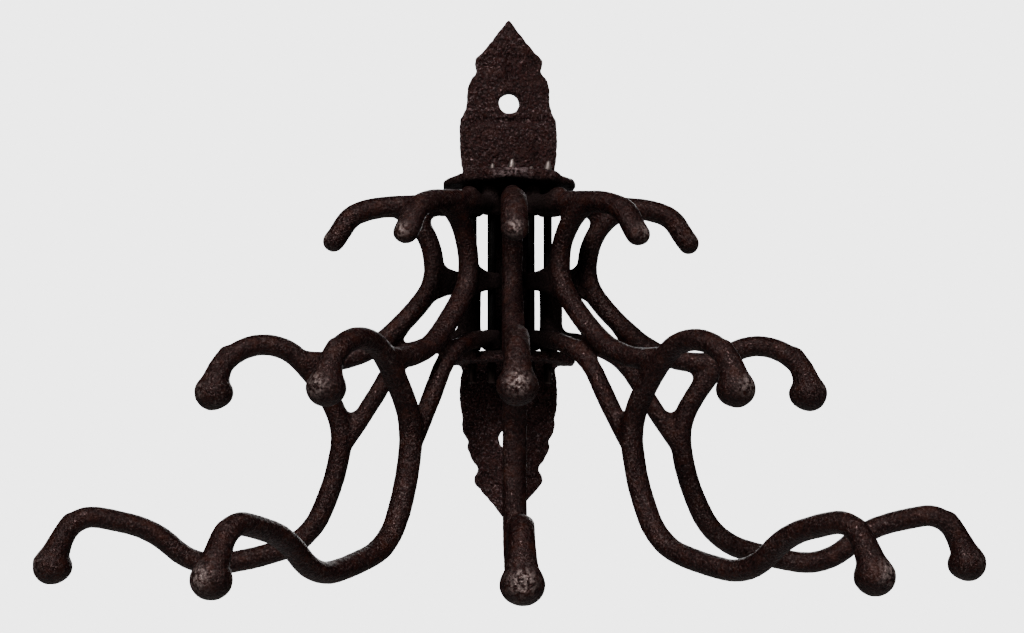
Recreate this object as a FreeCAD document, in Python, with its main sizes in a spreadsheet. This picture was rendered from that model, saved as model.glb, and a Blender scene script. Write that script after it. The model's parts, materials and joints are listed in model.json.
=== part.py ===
"""Wall-mounted swivel coat rack, in millimetres.

One cast wall plate carries two half-round shelves.  Five steel pivot rods stand in the holes of
the shelves, and one cast arm with three hooks turns on each rod.  The origin is on the wall face,
midway between the shelves: +Z is up, +X is to the right and -Y points away from the wall.
"""
import FreeCAD, Part
import Sketcher
import math
import os

Vector = FreeCAD.Vector

# Driving dimensions: (alias, value, what it is).  Lengths in mm, angles in degrees.
SIZES = [
    ("leaf_length", 65.0, "from a shelf to the point of its leaf"),
    ("plate_thick", 4.5, "thickness of the wall plate"),
    ("bar_half", 8.0, "half width of the bar between the shelves"),
    ("neck_half", 17.2, "half width of a leaf where it meets its shelf"),
    ("belly_half", 19.4, "half width of the upper leaf at its widest"),
    ("belly_height", 23.5, "widest place of the upper leaf above its shelf"),
    ("waist_half", 16.6, "half width of the upper leaf beside its screw hole"),
    ("waist_height", 32.5, "height of that waist"),
    ("throat_half", 12.2, "half width of the upper leaf under its point"),
    ("throat_height", 43.0, "height of that throat"),
    ("barb_half", 13.8, "half width of the upper point at its base"),
    ("barb_height", 48.0, "height of the base of the upper point"),
    ("low_belly_half", 18.6, "half width of the lower leaf at its widest"),
    ("low_belly_height", 22.0, "widest place of the lower leaf under its shelf"),
    ("low_notch_half", 14.9, "half width at the lower leaf's shallow notch"),
    ("low_notch_height", 31.2, "depth of the shallow notch"),
    ("low_lobe_half", 15.9, "half width of the lobe between the two notches"),
    ("low_lobe_height", 35.0, "depth of that lobe"),
    ("low_throat_half", 10.5, "half width at the lower leaf's deep notch"),
    ("low_throat_height", 42.3, "depth of the deep notch"),
    ("low_barb_half", 13.6, "half width of the lower point at its base"),
    ("low_barb_height", 48.0, "depth of the base of the lower point"),
    ("screw_hole_radius", 4.15, "radius of a wall screw's hole"),
    ("screw_hole_height", 30.0, "from either shelf to its screw hole"),
    ("panel_half", 11.5, "half width of the raised shield on the upper leaf"),
    ("panel_top", 21.0, "height of the shield's straight top edge above the shelf"),
    ("panel_base", 4.5, "height of the shield's round lower end above the shelf"),
    ("panel_raise", 0.7, "how far the shield stands out"),
    ("vein_width", 1.0, "width of the groove down the upper point"),
    ("vein_depth", 0.8, "depth of that groove"),
    ("vein_top", 54.0, "top of the groove"),
    ("vein_base", 38.0, "lower end of the groove"),
    ("shelf_gap", 66.8, "clear height between the two shelves"),
    ("shelf_thick", 4.6, "thickness of a shelf"),
    ("shelf_radius", 27.0, "radius of the half-round shelves"),
    ("scallop_depth", 1.3, "depth of the notches between the shelf's lobes"),
    ("scallop_inner", 28.0, "angle from straight ahead to the inner notches"),
    ("scallop_outer", 52.0, "angle from straight ahead to the outer notches"),
    ("shelf_centre", 5.4, "from the wall to the centre of the shelf's half circle"),
    ("pivot_circle", 17.6, "radius of the row of pivots about the shelf's centre"),
    ("eye_gap", 0.92, "free space between the middle arm's eyes and its neighbours'"),
    ("outer_eye_gap", 2.85, "free space between the eyes of the other neighbours"),
    ("rod_radius", 1.75, "radius of a pivot rod"),
    ("rod_seat", 0.02, "radial clearance of a rod in the shelves, a tight fit"),
    ("rod_above", 5.5, "how far a rod stands out above the upper shelf"),
    ("rod_below", 8.0, "how far a rod stands out under the lower shelf"),
    ("rod_chamfer", 0.4, "chamfer of a rod's ends"),
    ("eye_running", 0.08, "radial clearance of an arm's eyes on the rod"),
    ("eye_radius", 3.5, "outer radius of an arm's eyes"),
    ("eye_height", 8.2, "height of the lower eye"),
    ("mid_eye_height", 6.6, "height of the middle eye"),
    ("mid_eye_level", -5.6, "height of the middle eye's centre, from midway between the shelves"),
    ("eye_skirt", 4.1, "how far the upper eye reaches below the top hook's root"),
    ("arm_seat", 0.3, "gap from an arm's lower eye to the lower shelf, and above its upper eye"),
    ("post_radius", 4.6, "radius of the two outer arms' posts, between their lower eyes"),
    ("post_reach", 1.3, "how far the centre of a post lies from the rod's axis"),
    # An arm's places are given by their reach from the rod and by their height.  The top hook hangs
    # from the upper shelf, so its drops count down from its root; the hooks below stand on the lower
    # shelf, so their rises count up from the lower eye; levels count from midway between the shelves.
    ("root_drop", 8.6, "from the upper shelf down to the top hook's root"),
    ("link_reach", 12.0, "length of the tapered root of the top hook"),
    ("link_radius", 3.2, "radius of that root at the rod"),
    ("hook_radius", 4.3, "radius of the top hook's bar"),
    ("hook_flat_reach", 36.0, "where the top hook starts to fall"),
    ("hook_flat_drop", 1.2, "how far below the root"),
    ("hook_arch_reach", 46.0, "shoulder of the top hook"),
    ("hook_arch_drop", 3.6, "how far the shoulder is below the root"),
    ("hook_side_reach", 52.3, "outer side of the top hook"),
    ("hook_side_drop", 9.2, "how far below the root"),
    ("hook_tip_reach", 56.2, "tip of the top hook"),
    ("hook_tip_drop", 15.2, "how far the tip is below the root"),
    ("knob_reach", 15.5, "place of the small round knob on the hook's root"),
    ("knob_lift", 2.6, "height of the knob's centre above the root"),
    ("knob_radius", 3.6, "radius of the knob"),
    ("scroll_radius", 4.0, "radius of the C-shaped scroll's bar"),
    ("scroll_top_reach", 29.0, "where the scroll leaves the top hook"),
    ("scroll_top_drop", 2.4, "how far below the root"),
    ("scroll_neck_reach", 21.0, "upper shoulder of the scroll"),
    ("scroll_neck_drop", 8.8, "how far the shoulder is below the root"),
    ("scroll_waist_reach", 15.8, "nearest place of the scroll to the rod"),
    ("scroll_waist_level", 1.0, "height there"),
    ("scroll_turn_reach", 20.3, "lower shoulder of the scroll"),
    ("scroll_turn_rise", 16.0, "height of the lower shoulder"),
    ("scroll_run_reach", 35.6, "long run of the scroll to the main bar"),
    ("scroll_run_rise", 0.3, "height there"),
    ("scroll_end_reach", 61.0, "where the scroll starts to run into the middle hook's arch"),
    ("scroll_end_rise", -8.8, "height there"),
    ("bar_radius", 4.15, "radius of the main bar"),
    ("mid_ball_reach", 103.3, "centre of the middle hook's ball"),
    ("mid_ball_rise", -21.2, "height of that ball"),
    ("ball_radius", 6.8, "radius of the balls on the middle and bottom hooks"),
    ("mid_neck_reach", 99.2, "neck of the middle hook, above its ball"),
    ("mid_neck_rise", -9.8, "height of the neck"),
    ("mid_arch_reach", 87.0, "top of the middle hook's arch"),
    ("mid_arch_rise", -2.8, "height of the arch"),
    ("mid_fall_reach", 69.5, "inner side of the middle hook's arch"),
    ("mid_fall_rise", -8.2, "height there"),
    ("spine_top_reach", 56.7, "top of the arm's spine"),
    ("spine_top_rise", -25.0, "height there"),
    ("spine_reach", 53.2, "nearest place of the spine to the rod"),
    ("spine_rise", -43.0, "height there"),
    ("bend_in_reach", 61.4, "inner side of the bend at the bottom"),
    ("bend_in_rise", -69.2, "height there"),
    ("bend_reach", 77.0, "lower inner turn of the bend"),
    ("bend_rise", -82.4, "height there"),
    ("bend_base_reach", 98.0, "lowest place of the bend"),
    ("bend_base_rise", -87.2, "height there"),
    ("bend_out_reach", 118.2, "rising side of the bend"),
    ("bend_out_rise", -80.8, "height there"),
    ("low_foot_reach", 133.8, "foot of the bottom hook's arch"),
    ("low_foot_rise", -72.0, "height there"),
    ("low_arch_reach", 147.0, "top of the bottom hook's arch"),
    ("low_arch_rise", -69.1, "height of the arch"),
    ("low_neck_reach", 158.8, "outer shoulder of the bottom hook"),
    ("low_neck_rise", -74.6, "height there"),
    ("low_ball_reach", 164.2, "centre of the bottom hook's ball"),
    ("low_ball_rise", -87.5, "height of that ball"),
    ("brace_radius", 3.5, "radius of the brace under the scroll"),
    ("brace_knee_reach", 22.0, "knee of the brace"),
    ("brace_knee_rise", -3.4, "height of the knee"),
    ("brace_mid_reach", 35.0, "middle of the brace"),
    ("brace_mid_rise", -15.0, "height there"),
    ("web_thick", 4.2, "thickness of the webs"),
    ("swing_far_left", -79.0, "rest angle of each arm from straight ahead, + to the right"),
    ("swing_left", -38.0, ""),
    ("swing_centre", -2.0, ""),
    ("swing_right", 43.0, ""),
    ("swing_far_right", 80.0, ""),
]

doc = FreeCAD.newDocument("swivel_coat_rack")
sheet = doc.addObject("Spreadsheet::Sheet", "Sizes")
for row, (alias, value, note) in enumerate(SIZES, start=1):
    sheet.set("A%d" % row, alias)
    sheet.set("B%d" % row, str(value))
    sheet.set("C%d" % row, note)
    sheet.setAlias("B%d" % row, alias)
doc.recompute()


def size(alias):
    """Value of a driving dimension."""
    return float(sheet.get(alias))


def bind(obj, **expressions):
    """Tie properties of an object to the sheet; a name is written with _ for the dot."""
    for prop, text in expressions.items():
        obj.setExpression(prop.replace("_", "."), text)
    return obj


def plane_of(body, role):
    return next(f for f in body.Origin.OriginFeatures if f.Role == role)


def sketch_on(body, name, role, height=None):
    """A sketch on one of the body's own planes, lifted along its normal by an expression."""
    sketch = body.newObject("Sketcher::SketchObject", name)
    sketch.AttachmentSupport = [(plane_of(body, role), "")]
    sketch.MapMode = "FlatFace"
    if height:
        sketch.setExpression("AttachmentOffset.Base.z", height)
    return sketch


# ---------------------------------------------------------------- wall plate

def shelf_face():
    """Height of the upper shelf's top; the lower shelf's underside lies as far down."""
    return size("shelf_gap") / 2 + size("shelf_thick")


def plate_outline():
    """Half outline of the plate from the upper point to the lower one, as (x, z)."""
    foot = shelf_face()
    upper = [("tip", 0, foot + size("leaf_length"))]
    for name in ("barb", "throat", "waist", "belly"):
        upper.append((name, size(name + "_half"), foot + size(name + "_height")))
    upper.append(("neck", size("neck_half"), foot - size("shelf_thick") / 2))
    lower = [("neck", size("neck_half"), size("shelf_thick") / 2 - foot)]
    for name in ("belly", "notch", "lobe", "throat", "barb"):
        half, depth = size("low_%s_half" % name), size("low_%s_height" % name)
        lower.append((name, half, -foot - depth))
    lower.append(("tip", 0, -foot - size("leaf_length")))
    return upper, lower


def bulge(start, end, share):
    """Arc from start to end that bows out to the right of travel by a share of its chord."""
    chord = end - start
    side = Vector(-chord.y, chord.x, 0) * share
    return Part.Arc(start, (start + end) / 2 + side, end)


def draw_plate(sketch):
    """Closed outline of the plate: both leaves and the bar, drawn in the sketch's own axes."""
    upper, lower = plate_outline()
    bar, shoulder = size("bar_half"), size("shelf_gap") / 2
    # bow of each stretch, by the name of the place where it ends
    bows_up = {"barb": -0.03, "throat": 0.12, "waist": 0.14, "belly": -0.08, "neck": 0.05}
    bows_low = {"belly": 0.07, "notch": 0.16, "lobe": 0.35, "throat": 0.10,
                "barb": 0.22, "tip": -0.03}
    right = []
    for points, bows in ((upper, bows_up), (lower, bows_low)):
        for (_, x0, z0), (name, x1, z1) in zip(points, points[1:]):
            right.append((Vector(x0, z0, 0), Vector(x1, z1, 0), bows[name]))
    turn = Vector(size("neck_half"), shoulder, 0)
    bar_top, bar_low = Vector(bar, shoulder, 0), Vector(bar, -shoulder, 0)
    split = len(upper) - 1
    right[split:split] = [(right[split - 1][1], turn, 0), (turn, bar_top, 0),
                          (bar_top, bar_low, 0), (bar_low, Vector(turn.x, -shoulder, 0), 0),
                          (Vector(turn.x, -shoulder, 0), right[split][0], 0)]
    flip = lambda v: Vector(-v.x, v.y, 0)
    left = [(flip(b), flip(a), bow) for a, b, bow in reversed(right)]
    for a, b, bow in right + left:
        sketch.addGeometry(bulge(a, b, bow) if bow else Part.LineSegment(a, b), False)


plate = doc.addObject("PartDesign::Body", "wall_plate")
outline = sketch_on(plate, "plate_outline", "XZ_Plane")
draw_plate(outline)
casting = plate.newObject("PartDesign::Pad", "plate_casting")
casting.Profile = outline
bind(casting, Length="Sizes.plate_thick")
doc.recompute()


shield = sketch_on(plate, "shield_outline", "XZ_Plane")
half, foot = size("panel_half"), shelf_face()
top, base = foot + size("panel_top"), foot + size("panel_base")
corner = base + half * 0.8
shield.addGeometry(Part.LineSegment(Vector(-half, corner, 0), Vector(-half, top, 0)), False)
shield.addGeometry(Part.LineSegment(Vector(-half, top, 0), Vector(half, top, 0)), False)
shield.addGeometry(Part.LineSegment(Vector(half, top, 0), Vector(half, corner, 0)), False)
shield.addGeometry(Part.Arc(Vector(half, corner, 0), Vector(0, base, 0),
                            Vector(-half, corner, 0)), False)
raised = plate.newObject("PartDesign::Pad", "shield")
raised.Profile = shield
bind(raised, Length="Sizes.plate_thick + Sizes.panel_raise")

vein = sketch_on(plate, "vein_outline", "XZ_Plane", "Sizes.plate_thick")
r, top, base = size("vein_width") / 2, foot + size("vein_top"), foot + size("vein_base")
vein.addGeometry(Part.LineSegment(Vector(-r, base, 0), Vector(-r, top, 0)), False)
vein.addGeometry(Part.Arc(Vector(-r, top, 0), Vector(0, top + r, 0), Vector(r, top, 0)), False)
vein.addGeometry(Part.LineSegment(Vector(r, top, 0), Vector(r, base, 0)), False)
vein.addGeometry(Part.Arc(Vector(r, base, 0), Vector(0, base - r, 0), Vector(-r, base, 0)), False)
doc.recompute()
groove = plate.newObject("PartDesign::Pocket", "vein")
groove.Profile = vein
bind(groove, Length="Sizes.vein_depth")
doc.recompute()


def draw_shelf(sketch):
    """Half-round shelf with five lobes, from the wall outwards."""
    radius, dip = size("shelf_radius"), size("shelf_radius") - size("scallop_depth")
    y0 = -size("shelf_centre")
    stops = [(90, radius - size("scallop_depth") / 2)]
    stops += [(a, dip) for a in (size("scallop_outer"), size("scallop_inner"))]
    stops += [(-a, rr) for a, rr in reversed(stops)]
    place = lambda a, rr: Vector(rr * math.sin(math.radians(a)),
                                 y0 - rr * math.cos(math.radians(a)), 0)
    rim = [place(a, rr) for a, rr in stops]
    for (a0, _), (a1, _), start, end in zip(stops, stops[1:], rim, rim[1:]):
        sketch.addGeometry(Part.Arc(start, place((a0 + a1) / 2, radius), end), False)
    back = [rim[-1], Vector(rim[-1].x, 0, 0), Vector(rim[0].x, 0, 0), rim[0]]
    for start, end in zip(back, back[1:]):
        sketch.addGeometry(Part.LineSegment(start, end), False)


shelf_plan = sketch_on(plate, "shelf_plan", "XY_Plane", "Sizes.shelf_gap / 2")
draw_shelf(shelf_plan)
shelf = plate.newObject("PartDesign::Pad", "upper_shelf")
shelf.Profile = shelf_plan
bind(shelf, Length="Sizes.shelf_thick")
low_plan = sketch_on(plate, "lower_shelf_plan", "XY_Plane",
                     "-Sizes.shelf_gap / 2 - Sizes.shelf_thick")
draw_shelf(low_plan)
low_shelf = plate.newObject("PartDesign::Pad", "lower_shelf")
low_shelf.Profile = low_plan
bind(low_shelf, Length="Sizes.shelf_thick")
doc.recompute()

def pitch(gap):
    """Angle between two pivots whose eyes are a gap apart, as a number and as an expression."""
    chord = 2 * size("eye_radius") + size(gap)
    text = "2 * asin((2 * Sizes.eye_radius + Sizes.%s) / (2 * Sizes.pivot_circle))" % gap
    return 2 * math.degrees(math.asin(chord / (2 * size("pivot_circle")))), text


inner, inner_text = pitch("eye_gap")
outer, outer_text = pitch("outer_eye_gap")
outer, outer_text = inner + outer, "%s + %s" % (inner_text, outer_text)
# side, angle from straight ahead, and the same as an expression
PIVOTS = [("far_left", -outer, "-(%s)" % outer_text), ("left", -inner, "-(%s)" % inner_text),
          ("centre", 0.0, "0deg"),
          ("right", inner, inner_text), ("far_right", outer, outer_text)]


def drill(name, role, centres, radius):
    """Round holes right through the plate, both ways from one of its planes."""
    sketch = sketch_on(plate, name + "_centres", role)
    for n, (x, y) in enumerate(centres):
        sketch.addGeometry(Part.Circle(Vector(x, y, 0), Vector(0, 0, 1), size("rod_radius")), False)
        rim = sketch.addConstraint(
            Sketcher.Constraint("Radius", n, size("rod_radius")))
        sketch.setExpression("Constraints[%d]" % rim, radius)
    doc.recompute()
    before = plate.Shape.Volume
    hole = plate.newObject("PartDesign::Pocket", name)
    hole.Profile = sketch
    hole.Type = "ThroughAll"
    hole.SideType = "Symmetric"
    doc.recompute()
    removed = before - plate.Shape.Volume
    if removed <= 0:
        raise RuntimeError("%s cut nothing" % name)
    print("%s removed %.1f mm3" % (name, removed))


circle = size("pivot_circle")
pivot_places = [(circle * math.sin(math.radians(a)),
                 -size("shelf_centre") - circle * math.cos(math.radians(a)))
                for _, a, _ in PIVOTS]
drill("pivot_holes", "XY_Plane", pivot_places, "Sizes.rod_radius + Sizes.rod_seat")
drill("screw_holes", "XZ_Plane",
      [(0, sign * (foot + size("screw_hole_height"))) for sign in (1, -1)],
      "Sizes.screw_hole_radius")


# ---------------------------------------------------------------- pivot rods

def pivot_base(obj, angle):
    """Stand an object on a pivot whose angle about the shelf's centre is the given expression."""
    bind(obj, Placement_Base_x="Sizes.pivot_circle * sin(%s)" % angle,
         Placement_Base_y="-Sizes.shelf_centre - Sizes.pivot_circle * cos(%s)" % angle)


def pivot_rod(side, angle):
    """Round rod through both shelves, chamfered at both ends."""
    bar = doc.addObject("Part::Cylinder", "rod_bar_" + side)
    bind(bar, Radius="Sizes.rod_radius",
         Height="Sizes.shelf_gap + 2 * Sizes.shelf_thick + Sizes.rod_above + Sizes.rod_below")
    doc.recompute()
    rod = doc.addObject("Part::Chamfer", "pivot_rod_" + side)
    rod.Base = bar
    chamfer = size("rod_chamfer")
    rod.Edges = [(n, chamfer, chamfer) for n, edge in enumerate(bar.Shape.Edges, start=1)
                 if edge.BoundBox.ZLength < 1e-6]
    pivot_base(rod, angle)
    bind(rod, Placement_Base_z="-Sizes.shelf_gap / 2 - Sizes.shelf_thick - Sizes.rod_below")
    return rod


# ---------------------------------------------------------------- swing arms

# heights of the top hook's root and of the lower eye's centre, as expressions and as numbers
ROOT = "(Sizes.shelf_gap / 2 - Sizes.root_drop)"
LOW_EYE = "(Sizes.arm_seat + Sizes.eye_height / 2 - Sizes.shelf_gap / 2)"
# the upper eye rises from the root to just under the upper shelf
UPPER_RISE = "(Sizes.root_drop - Sizes.arm_seat)"
ROOT_LEVEL = size("shelf_gap") / 2 - size("root_drop")
LOW_EYE_LEVEL = size("arm_seat") + size("eye_height") / 2 - size("shelf_gap") / 2


def on_arm(reach, level):
    """Point in the arm's own plane: reach from the rod, and level from midway between the shelves."""
    return Vector(0, -reach, level)


def hung(*names):
    """Places whose drops count down from the top hook's root."""
    return [(size(n + "_reach"), ROOT_LEVEL - size(n + "_drop")) for n in names]


def stood(*names):
    """Places whose rises count up from the lower eye's centre."""
    return [(size(n + "_reach"), LOW_EYE_LEVEL + size(n + "_rise")) for n in names]


def smooth_path(start, heading, points):
    """Arcs through the points, each tangent to the one before; heading is in degrees."""
    edges, here, course = [], start, math.radians(heading)
    for there in points:
        run, rise = there[0] - here[0], there[1] - here[1]
        chord = math.hypot(run, rise)
        half_turn = math.remainder(math.atan2(rise, run) - course, 2 * math.pi)
        if abs(half_turn) < 1e-6:
            edges.append(Part.LineSegment(on_arm(*here), on_arm(*there)).toShape())
        else:
            radius = chord / 2 / math.sin(half_turn)
            sag = course + half_turn / 2
            reach = 2 * radius * math.sin(half_turn / 2)
            middle = (here[0] + reach * math.cos(sag), here[1] + reach * math.sin(sag))
            edges.append(Part.Arc(on_arm(*here), on_arm(*middle), on_arm(*there)).toShape())
        here, course = there, course + 2 * half_turn
    return Part.Wire(edges)


def cast_bar(name, side, radius, start, heading, points):
    """Round bar of the casting, swept along a smooth path."""
    path = doc.addObject("Part::Feature", "%s_path_%s" % (name, side))
    path.Shape = smooth_path(start, heading, points)
    course = math.radians(heading)
    ring = doc.addObject("Part::Circle", "%s_ring_%s" % (name, side))
    bind(ring, Radius=radius)
    ring.Placement = FreeCAD.Placement(on_arm(*start), FreeCAD.Rotation(
        Vector(0, 0, 1), Vector(0, -math.cos(course), math.sin(course))))
    bar = doc.addObject("Part::Sweep", "%s_%s" % (name, side))
    bar.Sections = [ring]
    bar.Spine = (path, ["Edge%d" % n for n in range(1, len(path.Shape.Edges) + 1)])
    bar.Solid = True
    return bar


def ball(name, side, radius, reach, level):
    part = doc.addObject("Part::Sphere", "%s_%s" % (name, side))
    return bind(part, Radius=radius, Placement_Base_y="-" + reach, Placement_Base_z=level)


def eye(name, side, level, height, radius="Sizes.eye_radius", reach="0"):
    """Upright round boss on the rod's axis, or a reach from it, centred at a level."""
    part = doc.addObject("Part::Cylinder", "%s_%s" % (name, side))
    return bind(part, Radius=radius, Height=height, Placement_Base_y="-(%s)" % reach,
                Placement_Base_z="%s - %s / 2" % (level, height))


def web(side):
    """Flat web from the middle eye to the scroll, hollowed above and below."""
    level, half = size("mid_eye_level"), size("mid_eye_height") / 2
    waist, depth = size("scroll_waist_reach"), size("scroll_radius")
    upper, lower = level + half, level - half
    spread = half * 1.6
    corners = [(0, upper), (waist, upper + spread), (waist + depth * 0.4, lower - spread), (0, lower)]
    sag = [(waist * 0.45, upper + spread * 0.22), (waist * 0.45, lower - spread * 0.22)]
    edges = [Part.Arc(on_arm(*corners[0]), on_arm(*sag[0]), on_arm(*corners[1])).toShape(),
             Part.LineSegment(on_arm(*corners[1]), on_arm(*corners[2])).toShape(),
             Part.Arc(on_arm(*corners[2]), on_arm(*sag[1]), on_arm(*corners[3])).toShape(),
             Part.LineSegment(on_arm(*corners[3]), on_arm(*corners[0])).toShape()]
    flat = doc.addObject("Part::Feature", "web_outline_" + side)
    flat.Shape = Part.Wire(edges)
    part = doc.addObject("Part::Extrusion", "web_" + side)
    part.Base = flat
    part.Dir = Vector(1, 0, 0)
    part.Solid = True
    part.Symmetric = True
    part.FaceMakerClass = "Part::FaceMakerBullseye"
    return bind(part, LengthFwd="Sizes.web_thick")


def swing_arm(side, angle):
    """One casting: three eyes, top hook, scroll, main bar with two ball hooks, and brace.

    The two outer arms also have a post between their lower eyes.
    """
    link_end = (size("link_reach"), ROOT_LEVEL)
    scroll_waist = (size("scroll_waist_reach"), size("scroll_waist_level"))

    link = doc.addObject("Part::Cone", "link_" + side)
    bind(link, Radius1="Sizes.link_radius", Radius2="Sizes.hook_radius",
         Height="Sizes.link_reach", Placement_Base_z=ROOT)
    link.Placement = FreeCAD.Placement(Vector(), FreeCAD.Rotation(Vector(1, 0, 0), 90))
    pieces = [
        eye("upper_eye", side, ROOT + " + (%s - Sizes.eye_skirt) / 2" % UPPER_RISE,
            "(%s + Sizes.eye_skirt)" % UPPER_RISE),
        eye("middle_eye", side, "Sizes.mid_eye_level", "Sizes.mid_eye_height"),
        eye("lower_eye", side, LOW_EYE, "Sizes.eye_height"),
        link,
        cast_bar("top_hook", side, "Sizes.hook_radius", link_end, 0,
                 hung("hook_flat", "hook_arch", "hook_side", "hook_tip")),
        ball("hook_end", side, "Sizes.hook_radius", "Sizes.hook_tip_reach",
             ROOT + " - Sizes.hook_tip_drop"),
        ball("knob", side, "Sizes.knob_radius", "Sizes.knob_reach",
             ROOT + " + Sizes.knob_lift"),
        cast_bar("scroll", side, "Sizes.scroll_radius", hung("scroll_top")[0], -157,
                 hung("scroll_neck") + [scroll_waist]
                 + stood("scroll_turn", "scroll_run", "scroll_end", "mid_fall")),
        cast_bar("main_bar", side, "Sizes.bar_radius", stood("mid_ball")[0], 88,
                 stood("mid_neck", "mid_arch", "mid_fall", "spine_top", "spine", "bend_in", "bend",
                       "bend_base", "bend_out", "low_foot", "low_arch", "low_neck", "low_ball")),
        ball("middle_ball", side, "Sizes.ball_radius", "Sizes.mid_ball_reach",
             LOW_EYE + " + Sizes.mid_ball_rise"),
        ball("bottom_ball", side, "Sizes.ball_radius", "Sizes.low_ball_reach",
             LOW_EYE + " + Sizes.low_ball_rise"),
        cast_bar("brace", side, "Sizes.brace_radius", (0, LOW_EYE_LEVEL), 6,
                 stood("brace_knee", "brace_mid", "spine")),
        web(side),
    ]
    if side in ("far_left", "far_right"):
        pieces.append(eye("post", side, "(%s + Sizes.mid_eye_level) / 2" % LOW_EYE,
                          "(Sizes.mid_eye_level - %s)" % LOW_EYE,
                          "Sizes.post_radius", "Sizes.post_reach"))
    casting = doc.addObject("Part::MultiFuse", "casting_" + side)
    casting.Shapes = pieces
    bore = eye("bore", side, "0", "Sizes.shelf_gap", "Sizes.rod_radius + Sizes.eye_running")
    arm = doc.addObject("Part::Cut", "arm_" + side)
    arm.Base, arm.Tool = casting, bore
    arm.Placement.Rotation = FreeCAD.Rotation(Vector(0, 0, 1), 1)
    pivot_base(arm, angle)
    bind(arm, Placement_Rotation_Angle="Sizes.swing_%s * 1deg" % side)
    return arm


nodes = [plate]
for side, _, angle in PIVOTS:
    nodes += [pivot_rod(side, angle), swing_arm(side, angle)]
doc.recompute()

# ---------------------------------------------------------------- checks and export

for node in nodes:
    node.Label = node.Name
for obj in doc.Objects:
    if "Invalid" in obj.State or "Error" in obj.State:
        raise RuntimeError("%s failed: %s" % (obj.Name, obj.getStatusString()))
os.makedirs("parts", exist_ok=True)
for node in nodes:
    shape = node.Shape
    if shape.isNull() or not shape.isValid() or len(shape.Solids) != 1:
        raise RuntimeError("%s is not one valid solid" % node.Label)
    shape.exportStep("parts/%s.step" % node.Label)
    print("%-20s %9.1f mm3  %s" % (node.Label, shape.Volume, shape.BoundBox))
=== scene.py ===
"""Looks of the wall-mounted swivel coat rack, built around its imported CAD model.

The castings are made from the surfaces of CAD nodes: the plate from its own, the three inner arms from
the middle arm's, and the two outer arms from the far left arm's.  A surface is turned into a distance
field, rounded as a sand casting is, given the relief of the real one, and pitted.  The pivot rods get
drawn-out tips.  Shapes are worked out in millimetres and handed to Blender in metres.
"""
import json
import math

import bpy
import numpy as np
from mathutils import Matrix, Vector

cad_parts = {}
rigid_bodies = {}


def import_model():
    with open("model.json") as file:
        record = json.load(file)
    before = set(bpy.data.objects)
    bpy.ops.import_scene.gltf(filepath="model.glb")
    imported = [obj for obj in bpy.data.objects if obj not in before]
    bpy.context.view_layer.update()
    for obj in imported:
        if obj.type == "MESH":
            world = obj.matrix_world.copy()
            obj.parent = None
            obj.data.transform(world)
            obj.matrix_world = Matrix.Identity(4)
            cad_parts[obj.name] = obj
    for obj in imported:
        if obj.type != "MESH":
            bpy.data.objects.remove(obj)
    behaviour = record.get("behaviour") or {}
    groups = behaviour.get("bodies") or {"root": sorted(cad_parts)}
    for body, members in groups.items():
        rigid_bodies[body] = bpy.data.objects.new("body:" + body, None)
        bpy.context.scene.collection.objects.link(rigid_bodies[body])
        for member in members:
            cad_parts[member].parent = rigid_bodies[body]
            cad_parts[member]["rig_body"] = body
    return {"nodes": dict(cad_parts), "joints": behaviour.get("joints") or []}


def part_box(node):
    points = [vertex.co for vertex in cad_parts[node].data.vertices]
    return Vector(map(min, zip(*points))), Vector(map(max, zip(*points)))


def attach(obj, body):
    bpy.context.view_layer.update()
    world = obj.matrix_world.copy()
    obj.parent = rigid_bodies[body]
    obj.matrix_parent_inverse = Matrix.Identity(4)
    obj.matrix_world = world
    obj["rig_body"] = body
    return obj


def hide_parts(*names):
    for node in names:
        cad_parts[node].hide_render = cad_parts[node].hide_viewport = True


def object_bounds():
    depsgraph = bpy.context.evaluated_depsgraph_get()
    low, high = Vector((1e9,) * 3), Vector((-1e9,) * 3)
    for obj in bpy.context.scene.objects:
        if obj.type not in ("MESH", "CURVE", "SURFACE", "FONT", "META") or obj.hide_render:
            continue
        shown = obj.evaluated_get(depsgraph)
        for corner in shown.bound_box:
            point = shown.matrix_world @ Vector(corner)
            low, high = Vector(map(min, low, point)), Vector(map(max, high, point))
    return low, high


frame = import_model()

import openvdb
from mathutils import Vector, noise

CAD_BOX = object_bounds()
MM = 0.001
VOXEL = 0.5      # cell of the distance fields, mm
SIDES = ("far_left", "left", "centre", "right", "far_right")

# ---------------------------------------------------------------- shapes as distance fields, in mm


def cad_surface(node):
    """Points and triangles of a CAD node, in mm."""
    mesh = frame["nodes"][node].data
    mesh.calc_loop_triangles()
    points = np.zeros(len(mesh.vertices) * 3, np.float32)
    mesh.vertices.foreach_get("co", points)
    corners = np.zeros(len(mesh.loop_triangles) * 3, np.int32)
    mesh.loop_triangles.foreach_get("vertices", corners)
    return points.reshape(-1, 3) / MM, corners.reshape(-1, 3)


def field(points, faces, reach):
    """Distance field of a closed surface, true to a distance of reach on both sides."""
    kind = "triangles" if faces.shape[1] == 3 else "quads"
    return openvdb.FloatGrid.createLevelSetFromPolygons(
        np.ascontiguousarray(points, np.float32), **{kind: np.ascontiguousarray(faces, np.uint32)},
        transform=openvdb.createLinearTransform(voxelSize=VOXEL), halfWidth=reach / VOXEL + 2)


def offset(surface, distance):
    """The surface moved outwards by a distance."""
    return field(*surface, abs(distance)).convertToQuads(isovalue=distance)


def cast(surface, fillet, edge):
    """Round a surface as a casting is: fillets in its inner corners and soft outer edges."""
    for distance in (fillet, -fillet - edge, edge):
        surface = offset(surface, distance)
    return surface


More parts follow.
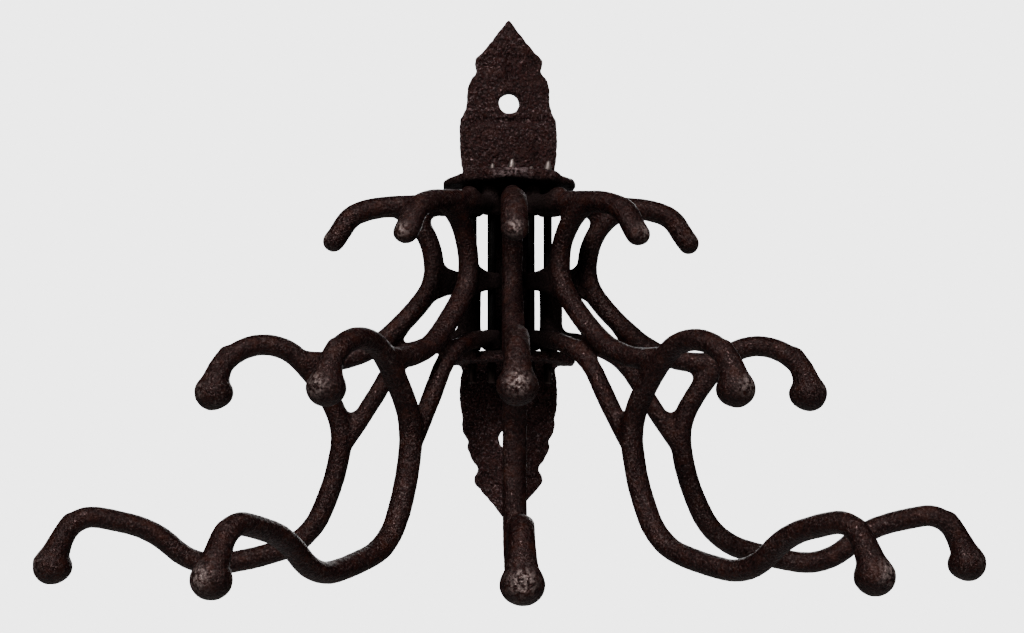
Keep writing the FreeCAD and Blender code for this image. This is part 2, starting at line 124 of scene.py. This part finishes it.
def carve(surface, change, reach=4.0):
    """Surface of the field that change(field, x, y, z) makes of this surface's own field."""
    grid = field(*surface, reach)
    low, high = (np.array(corner) for corner in grid.evalActiveVoxelBoundingBox())
    values = np.full(high - low + 1, reach, np.float32)
    grid.copyToArray(values, ijk=tuple(int(n) for n in low))
    axes = [np.arange(low[n], high[n] + 1, dtype=np.float32) * VOXEL for n in range(3)]
    x, y, z = np.meshgrid(*axes, indexing="ij", sparse=True)
    changed = openvdb.FloatGrid(reach)
    changed.transform = openvdb.createLinearTransform(voxelSize=VOXEL)
    changed.copyFromArray(change(values, x, y, z).astype(np.float32),
                          ijk=tuple(int(n) for n in low))
    return changed.convertToQuads(isovalue=0.0)


def melt(a, b, width):
    """Union of two fields with a soft hollow of about width where they meet."""
    share = np.clip(0.5 + 0.5 * (b - a) / width, 0, 1)
    return b + (a - b) * share - width * share * (1 - share)


def step(low, high, value):
    """Smooth step from 0 at low to 1 at high."""
    t = np.clip((value - low) / (high - low), 0, 1)
    return t * t * (3 - 2 * t)


def bump(value, centre, width):
    """Bell curve of height 1."""
    return np.exp(-((value - centre) / width) ** 2)


def as_mesh(name, surface):
    """Mesh of points in mm and quads."""
    points, quads = surface
    mesh = bpy.data.meshes.new(name)
    mesh.from_pydata((points * MM).tolist(), [], quads.tolist())
    mesh.update()
    mesh.validate()
    return mesh


def coordinates(mesh):
    """Places of a mesh's points, in mm."""
    points = np.zeros(len(mesh.vertices) * 3)
    mesh.vertices.foreach_get("co", points)
    return points.reshape(-1, 3) / MM


def normals(mesh):
    """Directions in which a mesh's points face."""
    found = np.zeros(len(mesh.vertices) * 3)
    mesh.vertex_normals.foreach_get("vector", found)
    return found.reshape(-1, 3)


def set_coordinates(mesh, points):
    """Move a mesh's points to places in mm."""
    mesh.vertices.foreach_set("co", (points * MM).ravel())
    mesh.update()


LUMP_SPAN, PIT_SPAN = 9.0, 1.9          # how far apart the lumps and the pits of a cast skin lie, mm


def pitted(mesh, seed, lumps=0.16, pits=0.09):
    """Push the surface in and out as a sand mould leaves it: slow lumps and small pits, in mm."""
    points, shift = coordinates(mesh), Vector((seed * 31.7, seed * 17.3, seed * 5.9))
    height = np.array([lumps * noise.noise(p / LUMP_SPAN + shift) + pits * noise.noise(p / PIT_SPAN - shift)
                       for p in map(Vector, points)])
    set_coordinates(mesh, points + normals(mesh) * height[:, None])


def shade(mesh, material, wear_and_sheen, painted_shade):
    """Give a mesh its material, smooth faces, its rubbed places and painted highlights, and its painted
    shade (0 to 1 for each point).
    """
    mesh.materials.append(material)
    mesh.polygons.foreach_set("use_smooth", [True] * len(mesh.polygons))
    for name, amount in (("wear_and_sheen", wear_and_sheen), ("painted_shade", painted_shade)):
        attribute = mesh.attributes.new(name, "FLOAT", "POINT")
        attribute.data.foreach_set("value", np.asarray(amount, np.float32))


def piece(name, mesh, node):
    """Show a mesh in place of a CAD node, on the node's own body."""
    obj = bpy.data.objects.new(name, mesh)
    bpy.context.scene.collection.objects.link(obj)
    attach(obj, frame["nodes"][node]["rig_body"])
    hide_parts(node)


# ---------------------------------------------------------------- materials


def nodes_of(name):
    """A new material, its node tree and its shader."""
    material = bpy.data.materials.new(name)
    material.use_nodes = True
    tree = material.node_tree
    return material, tree, tree.nodes["Principled BSDF"]


def add(tree, kind, **values):
    """A shader node; the values set its inputs by name, or its own properties."""
    node = tree.nodes.new(kind)
    for key, value in values.items():
        if key in node.inputs:
            node.inputs[key].default_value = value
        else:
            setattr(node, key, value)
    return node


def speckle(tree, place, scale, detail, low, high):
    """Noise of a scale (per metre), stretched so that low and high become 0 and 1."""
    cloud = add(tree, "ShaderNodeTexNoise", Scale=scale, Detail=detail)
    cloud.inputs["Roughness"].default_value = 0.6
    tree.links.new(place, cloud.inputs["Vector"])
    spread = tree.nodes.new("ShaderNodeMapRange")
    spread.inputs["From Min"].default_value = low
    spread.inputs["From Max"].default_value = high
    tree.links.new(cloud.outputs["Fac"], spread.inputs["Value"])
    return spread.outputs["Result"]


def blend_colour(tree, share, first, second):
    """Mix two colours, each a tuple or a socket."""
    mix = tree.nodes.new("ShaderNodeMix")
    mix.data_type = "RGBA"
    tree.links.new(share, mix.inputs["Factor"])
    for socket, colour in ((mix.inputs[6], first), (mix.inputs[7], second)):
        if isinstance(colour, tuple):
            socket.default_value = (*colour, 1)
        else:
            tree.links.new(colour, socket)
    return mix.outputs[2]


def calculate(tree, operation, first, second, clamp=False):
    """Result of a Math node on two values, each a number or a socket."""
    node = tree.nodes.new("ShaderNodeMath")
    node.operation, node.use_clamp = operation, clamp
    for socket, value in zip(node.inputs, (first, second)):
        if isinstance(value, (int, float)):
            socket.default_value = value
        else:
            tree.links.new(value, socket)
    return node.outputs[0]


def cast_iron(name, dark, brown, rust, worn_and_sheen, pebble, shine):
    """Sand-cast iron under a thin dark finish: shiny pebbles, dark pits, pale on rubbed places and painted
    highlights, near black in painted shade.
    """
    material, tree, skin = nodes_of(name)
    place = add(tree, "ShaderNodeTexCoord").outputs["Object"]
    clouds = speckle(tree, place, 90, 4, 0.36, 0.62)
    grains = speckle(tree, place, 1000, 2, 0.42, 0.62)
    stains = speckle(tree, place, 240, 5, 0.50, 0.66)
    base = blend_colour(tree, grains, dark, brown)
    base = blend_colour(tree, calculate(tree, "MULTIPLY", stains, 0.7), base, rust)

    # This attribute marks rubbed-bare places on the arms and painted highlight on the plate's front edges
    # and upper shelf lip; both take the pale bare colour.
    wear_and_sheen = add(tree, "ShaderNodeAttribute", attribute_name="wear_and_sheen").outputs["Fac"]
    rub = speckle(tree, place, 650, 3, 0.46, 0.60)
    bare_and_sheen = calculate(tree, "MULTIPLY", wear_and_sheen, rub, clamp=True)
    crests = speckle(tree, place, 1150, 2, 0.55, 0.72)
    crests = calculate(tree, "MULTIPLY", crests, clouds)
    base = blend_colour(tree, calculate(tree, "MULTIPLY", crests, shine), base, worn_and_sheen)
    base = blend_colour(tree, bare_and_sheen, base, worn_and_sheen)
    # Painted shade: near black, and rougher, between the shelves and around the rods, where the shelves
    # shadow the inside of the rack.
    painted_shade = add(tree, "ShaderNodeAttribute", attribute_name="painted_shade").outputs["Fac"]
    base = blend_colour(tree, painted_shade, base, (0.0012, 0.0005, 0.0005))
    tree.links.new(base, skin.inputs["Base Color"])
    tree.links.new(calculate(tree, "MULTIPLY", bare_and_sheen, 0.8), skin.inputs["Metallic"])

    rough = calculate(tree, "MULTIPLY_ADD", grains, -0.22)
    rough.node.inputs[2].default_value = 0.52
    rough = calculate(tree, "ADD", rough, calculate(tree, "MULTIPLY", painted_shade, 0.35))
    tree.links.new(rough, skin.inputs["Roughness"])
    skin.inputs["Specular IOR Level"].default_value = 0.30
    skin.inputs["Specular Tint"].default_value = (1.0, 0.66, 0.63, 1)

    cells = add(tree, "ShaderNodeTexVoronoi", Scale=900)
    cells.feature = "SMOOTH_F1"
    tree.links.new(place, cells.inputs["Vector"])
    hollows = calculate(tree, "MULTIPLY", cells.outputs["Distance"], -0.9)
    height = calculate(tree, "ADD", hollows, grains)
    relief = add(tree, "ShaderNodeBump", Strength=pebble, Distance=0.0005)
    tree.links.new(height, relief.inputs["Height"])
    tree.links.new(relief.outputs["Normal"], skin.inputs["Normal"])
    return material


def dark_steel(name):
    """Drawn steel rod gone dark: fine marks round it, thin brown oxide, a painted highlight on its tip and
    painted shade between the shelves.
    """
    material, tree, skin = nodes_of(name)
    place = add(tree, "ShaderNodeTexCoord").outputs["Object"]
    stretch = add(tree, "ShaderNodeMapping")
    stretch.inputs["Scale"].default_value = (1, 1, 9)
    tree.links.new(place, stretch.inputs["Vector"])
    rings = speckle(tree, stretch.outputs["Vector"], 330, 3, 0.35, 0.65)
    oxide = speckle(tree, place, 190, 4, 0.45, 0.65)
    base = blend_colour(tree, oxide, (0.040, 0.026, 0.023), (0.012, 0.006, 0.005))
    # Painted highlight: the tip above the upper shelf is made paler.
    wear_and_sheen = add(tree, "ShaderNodeAttribute", attribute_name="wear_and_sheen").outputs["Fac"]
    base = blend_colour(tree, wear_and_sheen, base, (0.30, 0.24, 0.22))
    # Painted shade: near black between the shelves.
    painted_shade = add(tree, "ShaderNodeAttribute", attribute_name="painted_shade").outputs["Fac"]
    base = blend_colour(tree, painted_shade, base, (0.0020, 0.0010, 0.0010))
    tree.links.new(base, skin.inputs["Base Color"])
    skin.inputs["Metallic"].default_value = 0.85
    rough = calculate(tree, "MULTIPLY_ADD", oxide, 0.25)
    rough.node.inputs[2].default_value = 0.34
    tree.links.new(rough, skin.inputs["Roughness"])
    relief = add(tree, "ShaderNodeBump", Strength=0.2, Distance=0.0002)
    tree.links.new(rings, relief.inputs["Height"])
    tree.links.new(relief.outputs["Normal"], skin.inputs["Normal"])
    return material


# The fourth colour of each is pale bare iron, for rubbed places and for painted highlights.
arm_iron = cast_iron("arm_iron", (0.0026, 0.0004, 0.0004), (0.0150, 0.0036, 0.0030),
                     (0.0310, 0.0078, 0.0040), (0.36, 0.27, 0.25), pebble=0.55, shine=0.30)
plate_iron = cast_iron("plate_iron", (0.0030, 0.0005, 0.0005), (0.0270, 0.0080, 0.0075),
                       (0.0300, 0.0085, 0.0060), (0.36, 0.26, 0.26), pebble=0.9, shine=0.50)
rod_steel = dark_steel("rod_steel")

# ---------------------------------------------------------------- swing arms

# All in mm. A place on an arm is given as (reach from the rod, level above the middle of the rack).
ARM_FILLET, ARM_EDGE = 2.4, 0.7
BORE_RADIUS = 1.9           # of the holes that the rods go through
# Centres of the balls on the middle and the bottom hook, as reach and level, and how far inwards of each
# and above it its flare begins
BALLS = [(103.3, -50.2, 4.7, 15.5), (164.2, -116.5, 6.4, 17.1)]
KNOB = (14.2, 26.4)         # centre of the leaf curl on the root of the top hook
BOSS_HEIGHT = 11.5          # thick part of the upper eye
INNER_BOSS, OUTER_BOSS = 3.75, 4.4      # its radius on the three inner and on the two outer arms
HALF_BAY = 33.4             # from the middle of the bay between the shelves to either shelf
EYE_PLAY = 0.2              # left between an eye's end and the shelf
EYE_REACH = 9.5             # radius around a rod in which its arm's eyes and their roots lie
# Where hands and coats rub the balls and the top hook's nose: reach, level and radius
RUBBED = [(110.2, -49.0, 3.7), (170.6, -115.0, 4.0), (60.0, 10.5, 2.8)]
SHADE_REACH = (9, 21)             # reach over which the painted shade around the rod thins out


def pivot_of(body):
    """Axis of an arm's rod, as x and y in mm."""
    joint = next(j for j in frame["joints"] if j["child"] == body)
    return np.array(joint["pos_m"][:2]) / MM


def heading_of(body):
    """Angle of an arm about its rod, from straight ahead, by where its far end lies."""
    points = cad_surface(body)[0][:, :2] - pivot_of(body)
    reach = np.hypot(points[:, 0], points[:, 1])
    tip = points[reach > reach.max() - 6].mean(0)
    return math.atan2(tip[0], -tip[1])


def turned(points, angle):
    """Turn points about the upright axis; a positive angle goes from -Y towards +X."""
    c, s = math.cos(angle), math.sin(angle)
    x, y, z = points.T
    return np.stack([x * c - y * s, x * s + y * c, z], 1)


def widen(points):
    """Castings are a little wider across than they are thick, most of all at the top hook's nose."""
    reach, level = -points[:, 1], points[:, 2]
    nose = step(30, 52, reach) * step(2, 8, level)
    share = 0.10 * step(14, 30, reach) + 0.12 * nose
    return points * np.stack([1 + share, np.ones_like(share), np.ones_like(share)], 1)


def round_cone(x, y, z, start, end, start_radius, end_radius):
    """Distance to a bar in the arm's plane that tapers from one (reach, level) to another."""
    run, rise = end[0] - start[0], end[1] - start[1]
    along = ((-y - start[0]) * run + (z - start[1]) * rise) / (run * run + rise * rise)
    along = np.clip(along, 0, 1)
    across = np.sqrt(x * x + (-y - start[0] - run * along) ** 2 + (z - start[1] - rise * along) ** 2)
    return across - start_radius - (end_radius - start_radius) * along


def drop(d, x, y, z, reach, level, inward, above):
    """Turn a ball into the drop that a hook ends in: flared on its outer side, a lip on its inner."""
    neck = round_cone(x, y, z, (reach - inward, level + above), (reach + 0.4, level + 0.5), 2.4, 6.3)
    lip = round_cone(x, y, z, (reach - 2.3, level - 0.1), (reach + 0.3, level - 0.2), 5.6, 6.4)
    return melt(melt(d, neck, 2.0), lip, 0.8)


def arm_surface(body, boss_radius):
    """An arm's casting, with its rod at the origin and its hooks towards -Y."""
    points, faces = cad_surface(body)
    eye_top = points[:, 2].max()
    points = points - np.append(pivot_of(body), 0)
    points, faces = cast((turned(points, -heading_of(body)), faces), ARM_FILLET, ARM_EDGE)

    def finish(d, x, y, z):
        """Shape the hooks' ends, the knob and the upper eye, and drill the eyes for the rod."""
        for place in BALLS:
            d = drop(d, x, y, z, *place)
        d = melt(d, round_cone(x, y, z, KNOB, (KNOB[0] - 2.5, KNOB[1] - 1.5), 3.9, 3.6), 1.2)
        across = np.sqrt(x * x + y * y)
        boss = np.maximum(np.maximum(across - boss_radius, z - eye_top), eye_top - BOSS_HEIGHT - z)
        return np.maximum(melt(d, boss, 1.0), BORE_RADIUS - across)

    return carve((widen(points), faces), finish)


def clear_of_shelves(points):
    """Keep an arm's eyes, with its rod at the origin, just short of the shelves' inner faces."""
    eye = np.hypot(points[:, 0], points[:, 1]) < EYE_REACH
    inside = np.clip(points[:, 2], EYE_PLAY - HALF_BAY, HALF_BAY - EYE_PLAY)
    return np.stack([points[:, 0], points[:, 1], np.where(eye, inside, points[:, 2])], 1)


def clear_of_eyes(points):
    """Keep the shelves' inner faces, as far as 3 mm into the bay, flat where the arms' eyes run."""
    x, y, z = points.T
    for side in SIDES:
        px, py = pivot_of("arm_" + side)
        proud = (np.abs(z) < HALF_BAY) & (np.abs(z) > HALF_BAY - 3)
        z = np.where(proud & (np.hypot(x - px, y - py) < EYE_REACH), np.sign(z) * HALF_BAY, z)
    return np.stack([x, y, z], 1)


def arm_wear(points):
    """How far each point is rubbed bare, from 0 to 1."""
    return sum(np.exp(-((points - (0, -reach, level)) ** 2).sum(1) / size ** 2)
               for reach, level, size in RUBBED)


inner_casting = arm_surface("arm_centre", INNER_BOSS)
outer_casting = arm_surface("arm_far_left", OUTER_BOSS)
for seed, side in enumerate(SIDES, start=1):
    body = "arm_" + side
    mesh = as_mesh(body + "_casting", outer_casting if side.startswith("far") else inner_casting)
    # Painted shade on each arm: darkest at its eyes around the rod, where the shelves shadow it, fading out
    # over the reach given above.
    wear_and_sheen, painted_shade = arm_wear(coordinates(mesh)), 1 - step(*SHADE_REACH, -coordinates(mesh)[:, 1])
    pitted(mesh, seed)
    placed = turned(clear_of_shelves(coordinates(mesh)), heading_of(body)) + np.append(pivot_of(body), 0)
    set_coordinates(mesh, np.clip(placed, *(np.array(corner) / MM for corner in CAD_BOX)))
    shade(mesh, arm_iron, wear_and_sheen, painted_shade)
    piece(body + "_casting", mesh, body)

# ---------------------------------------------------------------- wall plate

PLATE_FILLET, PLATE_EDGE = 1.6, 0.8
SHELF_RADIUS = 27.0


def finish_plate(d, x, y, z):
    """Drill the pivot holes again, which the fillets have closed."""
    for side in SIDES:
        px, py = pivot_of("arm_" + side)
        d = np.maximum(d, BORE_RADIUS - np.sqrt((x - px) ** 2 + (y - py) ** 2))
    return d


def leaf_relief(x, z):
    """How far the front of a leaf stands out, in mm, at a height above or below the middle."""
    across, up = np.abs(x), np.abs(z)
    groove = -0.9 * bump(across, 0, 0.8) * step(75, 77, up) * (1 - step(90, 93, up))
    flanks = 0.7 * bump(across, 2.2, 1.1) * step(75, 78, up) * (1 - step(85, 88, up))
    barbs = -1.3 * bump(across, 9.8, 2.4) * bump(up, 83.5, 2.2)
    ledge = -0.9 * bump(up, 60.6 + 0.4 * np.sin(across), 1.3) * (1 - step(13, 16, across))
    brow = -0.8 * bump(up, 86.5, 1.0) * (1 - step(9, 12, across))
    ring = 0.4 * bump(np.hypot(x, up - 68), 5.6, 0.8)
    crescent = -0.6 * bump(np.hypot(x, up - 54.5), 11.2, 0.8) * (1 - step(52, 55, up))
    return groove + flanks + barbs + ledge + brow + ring + crescent


def shelf_lift(points, shelf_centre, shelf_radius):
    """Rise and fall of the shelves' rims, in mm: a proud lip in front, and drooping, curled ends."""
    x, y, z = points.T
    rim = step(0.55, 1.0, np.hypot(x, y - shelf_centre) / shelf_radius)
    aside = np.abs(x) / shelf_radius
    curl = 0.35 * np.cos(np.arctan2(x, shelf_centre - y) * 9)
    droop = (0.9 - 3.6 * aside ** 3) * np.where((z < 35.5) & (aside > 0.6), 0.5, 1.0)
    upper = (z > 32) & (z < 40)
    lower = (z < -32) & (z > -40)
    return rim * (upper * (droop + curl) + lower * (0.8 * (1 - 1.6 * aside ** 2) + 0.5 * curl))


plate_low, plate_high = (np.array(corner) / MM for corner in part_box("wall_plate"))
plate_mesh = as_mesh("wall_plate_casting",
                     carve(cast(cad_surface("wall_plate"), PLATE_FILLET, PLATE_EDGE), finish_plate))
points, facing = coordinates(plate_mesh), -normals(plate_mesh)[:, 1]
front = step(0.5, 0.9, facing) * step(2.5, 4.0, -points[:, 1]) * step(39, 43, np.abs(points[:, 2]))
# Painted highlight on the plate's rounded front edges above and below the shelves, picked out by how far
# they face forwards.
edges = bump(facing, 0.45, 0.25) * step(1.5, 3.0, -points[:, 1]) * step(39, 41, np.abs(points[:, 2]))
# Painted highlight on the front lip of the upper shelf.
lip = bump(-points[:, 1], -plate_low[1], 2.0) * step(28, 34, points[:, 2])
points[:, 1] -= leaf_relief(points[:, 0], points[:, 2]) * front
points[:, 2] += shelf_lift(points, plate_low[1] + SHELF_RADIUS, SHELF_RADIUS)
set_coordinates(plate_mesh, points)
pitted(plate_mesh, 9, lumps=0.35, pits=0.30)
set_coordinates(plate_mesh, np.clip(clear_of_eyes(coordinates(plate_mesh)), plate_low, plate_high))
# Painted highlight on the edges and lip, and painted shade between the shelves.
shade(plate_mesh, plate_iron, 0.45 * edges + 0.5 * lip, 1 - step(33.6, 36.5, np.abs(points[:, 2])))
piece("wall_plate_casting", plate_mesh, "wall_plate")

# ---------------------------------------------------------------- pivot rods

TIP_HEIGHT, TIP_RADIUS, TIP_BEND = 3.4, 0.7, 0.35       # drawn-out upper end of a rod
# How much shorter than full length each rod has broken off above the shelf
BROKEN = {"far_left": 3.2, "left": 2.0, "centre": 0.4, "right": 3.0, "far_right": 0.0}


def rod_surface(node, px, py, short):
    """A rod whose upper end is drawn out to a blunt, slightly bent point."""
    points, faces = cad_surface(node)
    top, radius = points[:, 2].max() - short, np.abs(points[:, 0] - px).max()

    def finish(d, x, y, z):
        up = np.clip((z - top + TIP_HEIGHT) / TIP_HEIGHT, 0, 1)
        across = np.sqrt((x - px - TIP_BEND * up) ** 2 + (y - py) ** 2)
        point = across - radius - 0.02 + (radius - TIP_RADIUS) * up
        return np.maximum(np.maximum(d, point), z - top)

    return carve((points, faces), finish)


for seed, (side, short) in enumerate(BROKEN.items(), start=20):
    node = "pivot_rod_" + side
    mesh = as_mesh(node + "_bar", rod_surface(node, *pivot_of("arm_" + side), short))
    level = coordinates(mesh)[:, 2]
    pitted(mesh, seed, lumps=0.06, pits=0.05)
    # Painted highlight on the tip above the upper shelf, and painted shade between the shelves.
    shade(mesh, rod_steel, 0.6 * step(38, 42, level), 1 - step(33, 35, np.abs(level)))
    piece(node + "_bar", mesh, node)

# ---------------------------------------------------------------- studio


SURROUND_GLOW, WORLD_GLOW = 4.0, 0.006
FLOOR_LEVEL = -1.2          # m
AIM = Vector((0, -0.08, -0.02))     # what the lamps point at, m
# Name, place in m, width in m and power in W of each lamp
LAMPS = [("key", (-0.3, -1.35, 1.35), 0.45, 34),
         ("left", (-1.2, -1.0, 0.8), 0.5, 6),
         ("right", (1.2, -1.0, 0.8), 0.5, 5),
         ("back", (0.3, 1.7, 0.4), 0.8, 7)]


def emitter(name, colour, strength):
    """A material that glows evenly."""
    material, _, skin = nodes_of(name)
    skin.inputs["Base Color"].default_value = (0, 0, 0, 1)
    skin.inputs["Emission Color"].default_value = (*colour, 1)
    skin.inputs["Emission Strength"].default_value = strength
    return material


def studio():
    """Pale floor, an even pale surround that only the camera sees, and soft lamps on four sides."""
    bpy.ops.mesh.primitive_uv_sphere_add(radius=8, segments=48, ring_count=24)
    surround = bpy.context.object
    surround.name = "surround"
    surround.data.materials.append(emitter("surround_paper", (1, 1, 1), SURROUND_GLOW))
    surround.visible_diffuse = surround.visible_glossy = surround.visible_shadow = False
    bpy.ops.mesh.primitive_circle_add(radius=7, fill_type="NGON", vertices=96,
                                      location=(0, 0, FLOOR_LEVEL))
    floor = bpy.context.object
    floor.name = "floor"
    material, _, skin = nodes_of("floor_paper")
    skin.inputs["Base Color"].default_value = (0.8, 0.8, 0.8, 1)
    skin.inputs["Roughness"].default_value = 0.9
    floor.data.materials.append(material)

    world = bpy.data.worlds.new("studio")
    bpy.context.scene.world = world
    world.use_nodes = True
    world.node_tree.nodes["Background"].inputs["Color"].default_value = (1, 1, 1, 1)
    world.node_tree.nodes["Background"].inputs["Strength"].default_value = WORLD_GLOW

    for name, place, size, power in LAMPS:
        lamp = bpy.data.lights.new(name, "AREA")
        lamp.size, lamp.energy = size, power
        obj = bpy.data.objects.new(name, lamp)
        obj.location = place
        obj.rotation_euler = (AIM - Vector(place)).to_track_quat("-Z", "Y").to_euler()
        bpy.context.scene.collection.objects.link(obj)


def camera():
    """Camera at eye level, a little left of the middle, looking slightly up and to the right."""
    lens = bpy.data.cameras.new("camera")
    lens.sensor_width, lens.lens = 36.0, 84.6
    obj = bpy.data.objects.new("camera", lens)
    obj.location = (-0.0538, -0.9718, -0.0741)
    obj.rotation_euler = (math.radians(90 + 3.28), 0, math.radians(-3.26))
    bpy.context.scene.collection.objects.link(obj)
    bpy.context.scene.camera = obj


studio()
camera()
